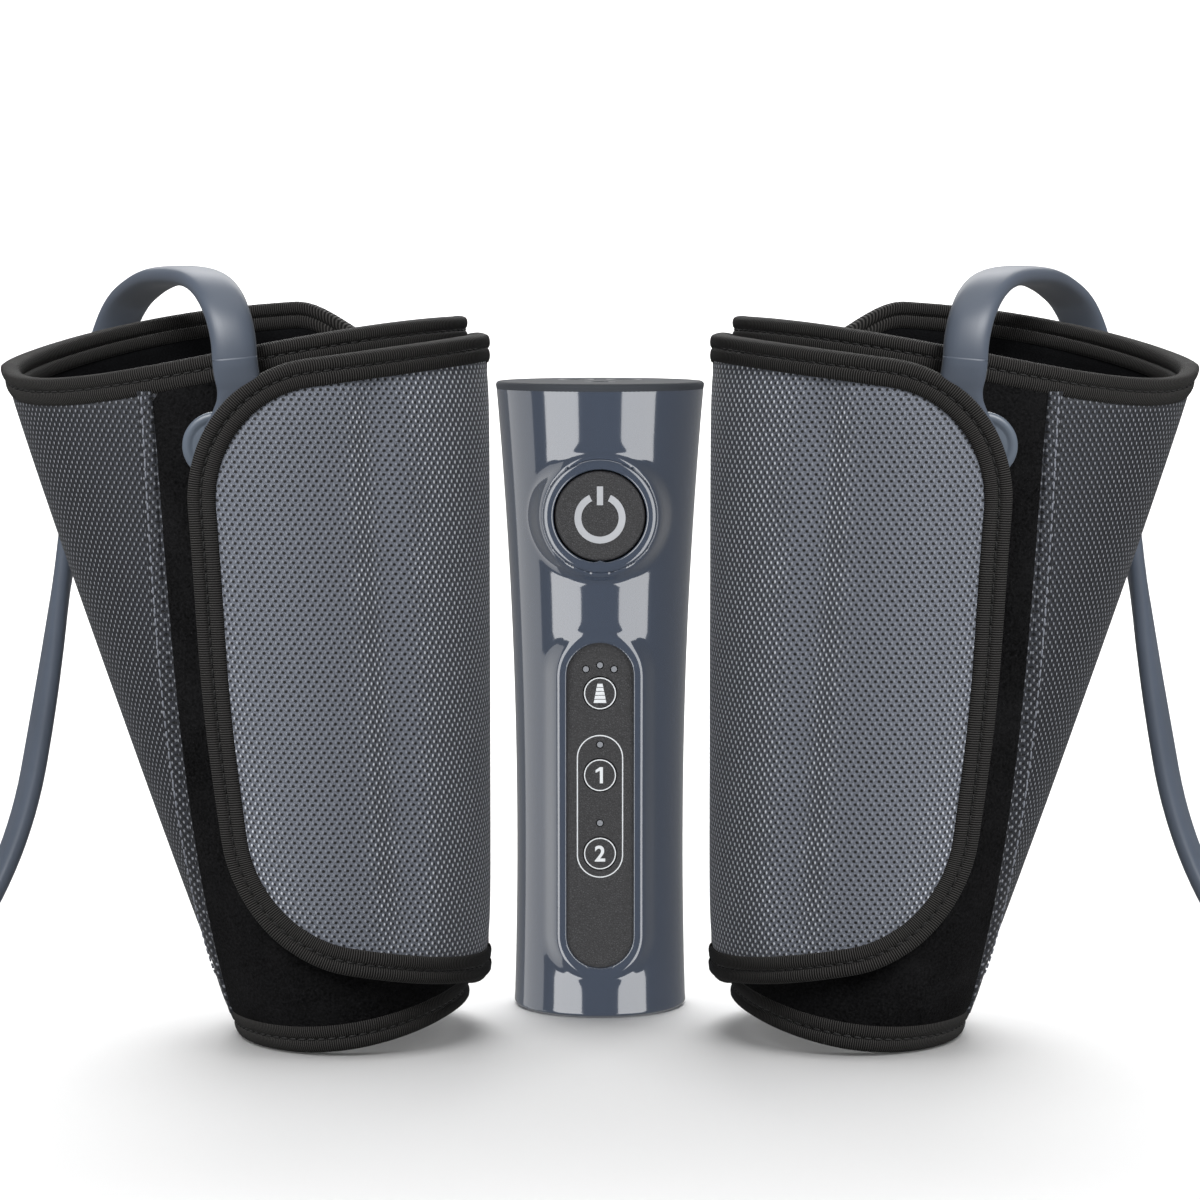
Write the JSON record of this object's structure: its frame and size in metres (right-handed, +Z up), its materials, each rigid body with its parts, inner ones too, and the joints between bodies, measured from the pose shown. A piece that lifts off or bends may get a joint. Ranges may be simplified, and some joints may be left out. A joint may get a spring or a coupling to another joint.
{
  "type": "leg massager",
  "caption": "Air-compression leg massager: a hand-held pump controller with a power button and key panel, and tapered calf wraps with hook-and-loop flaps and flat air hoses.",
  "frame": {"origin": "on the floor, in the middle of the set", "axes": "+Z up, +X to the right of someone who faces the panel, +Y away from them"},
  "size_m": [0.8534, 0.1242, 0.2308],
  "materials": {
    "body_plastic": "glossy blue-grey",
    "button_black": "fine black texture",
    "panel_black": "fine black texture",
    "light_pipe": "clear grey",
    "board": "solder mask",
    "switch_black": "moulded",
    "motor_steel": "plated",
    "pump_plastic": "moulded",
    "silicone": "soft",
    "foot_rubber": "matte",
    "screw_steel": "plated",
    "mesh_fabric": "spacer mesh, blue-grey",
    "lining_fabric": "brushed black",
    "loop_fabric": "black loop pile",
    "binding_tape": "ribbed black tape",
    "bladder_film": "film",
    "padding_foam": "soft foam",
    "hook_plastic": "black hooks",
    "fitting_plastic": "smoky translucent",
    "hose_rubber": "satin blue-grey",
    "plug_plastic": "moulded"
  },
  "bodies": {
    "controller": {"front_shell": "body_plastic", "rear_shell": "body_plastic", "top_cap": "body_plastic", "base_cap": "body_plastic", "base_pad": "foot_rubber", "button_bezel": "body_plastic", "control_panel": "panel_black", "circuit_board": "board", "tact_switches": "switch_black", "indicator_lights": "light_pipe", "pump_mount": "foot_rubber", "pump_motor": "motor_steel", "pump_body": "pump_plastic", "wobble_plate": "pump_plastic", "pump_diaphragm": "silicone", "pump_cover": "pump_plastic", "pump_tube": "silicone", "air_manifold": "pump_plastic", "solenoid_valves": "motor_steel", "outlet_tubes": "silicone", "air_outlets": "plug_plastic", "dc_jack": "plug_plastic", "housing_screws": "screw_steel"},
    "power_button": {"power_button": "button_black"},
    "pressure_key": {"pressure_key": "panel_black"},
    "mode_1_key": {"mode_1_key": "panel_black"},
    "mode_2_key": {"mode_2_key": "panel_black"},
    "pump_rotor": {"pump_rotor": "motor_steel"},
    "left_valve_plunger": {"left_valve_plunger": "motor_steel"},
    "right_valve_plunger": {"right_valve_plunger": "motor_steel"},
    "left_wrap": {"left_wrap_cover": "mesh_fabric", "left_wrap_bladder": "bladder_film", "left_wrap_lining": "lining_fabric", "left_wrap_top_binding": "binding_tape", "left_wrap_foot_binding": "binding_tape", "left_wrap_loop_panel": "loop_fabric", "left_hose_fitting": "fitting_plastic", "left_hose": "hose_rubber", "left_hose_plug": "plug_plastic"},
    "left_flap": {"left_flap_cover": "mesh_fabric", "left_flap_padding": "padding_foam", "left_flap_lining": "lining_fabric", "left_flap_hook_strips": "hook_plastic", "left_flap_binding": "binding_tape"},
    "right_wrap": {"right_wrap_cover": "mesh_fabric", "right_wrap_bladder": "bladder_film", "right_wrap_lining": "lining_fabric", "right_wrap_top_binding": "binding_tape", "right_wrap_foot_binding": "binding_tape", "right_wrap_loop_panel": "loop_fabric", "right_hose_fitting": "fitting_plastic", "right_hose": "hose_rubber", "right_hose_plug": "plug_plastic"},
    "right_flap": {"right_flap_cover": "mesh_fabric", "right_flap_padding": "padding_foam", "right_flap_lining": "lining_fabric", "right_flap_hook_strips": "hook_plastic", "right_flap_binding": "binding_tape"}
  },
  "joints": [
    {"name": "power_button_press", "type": "slide", "parent": "controller", "child": "power_button", "axis": [0, 1, 0], "range_m": [0, 0.0005], "stiffness_N_per_m": 2500},
    {"name": "pressure_key_press", "type": "slide", "parent": "controller", "child": "pressure_key", "axis": [0, 1, 0], "range_m": [0, 0.0005], "stiffness_N_per_m": 2500},
    {"name": "mode_1_key_press", "type": "slide", "parent": "controller", "child": "mode_1_key", "axis": [0, 1, 0], "range_m": [0, 0.0005], "stiffness_N_per_m": 2500},
    {"name": "mode_2_key_press", "type": "slide", "parent": "controller", "child": "mode_2_key", "axis": [0, 1, 0], "range_m": [0, 0.0005], "stiffness_N_per_m": 2500},
    {"name": "pump_rotor_spin", "type": "hinge", "parent": "controller", "child": "pump_rotor", "pos_m": [0, 0.0382, 0.02], "axis": [0, 0, 1], "continuous": true},
    {"name": "left_valve_lift", "type": "slide", "parent": "controller", "child": "left_valve_plunger", "axis": [0, 0, 1], "range_m": [0, 0.0015], "stiffness_N_per_m": 400},
    {"name": "left_wrap_lift", "type": "slide", "parent": "controller", "child": "left_wrap", "axis": [0, 0, 1], "range_m": [0, 0.06]},
    {"name": "left_flap_open", "type": "hinge", "parent": "left_wrap", "child": "left_flap", "pos_m": [-0.0327, -0.0143, 0.11], "axis": [0, 0, 1], "range_deg": [0, 65]},
    {"name": "right_valve_lift", "type": "slide", "parent": "controller", "child": "right_valve_plunger", "axis": [0, 0, 1], "range_m": [0, 0.0015], "stiffness_N_per_m": 400},
    {"name": "right_wrap_lift", "type": "slide", "parent": "controller", "child": "right_wrap", "axis": [0, 0, 1], "range_m": [0, 0.06]},
    {"name": "right_flap_open", "type": "hinge", "parent": "right_wrap", "child": "right_flap", "pos_m": [0.0327, -0.0143, 0.11], "axis": [0, 0, -1], "range_deg": [0, 65]}
  ]
}
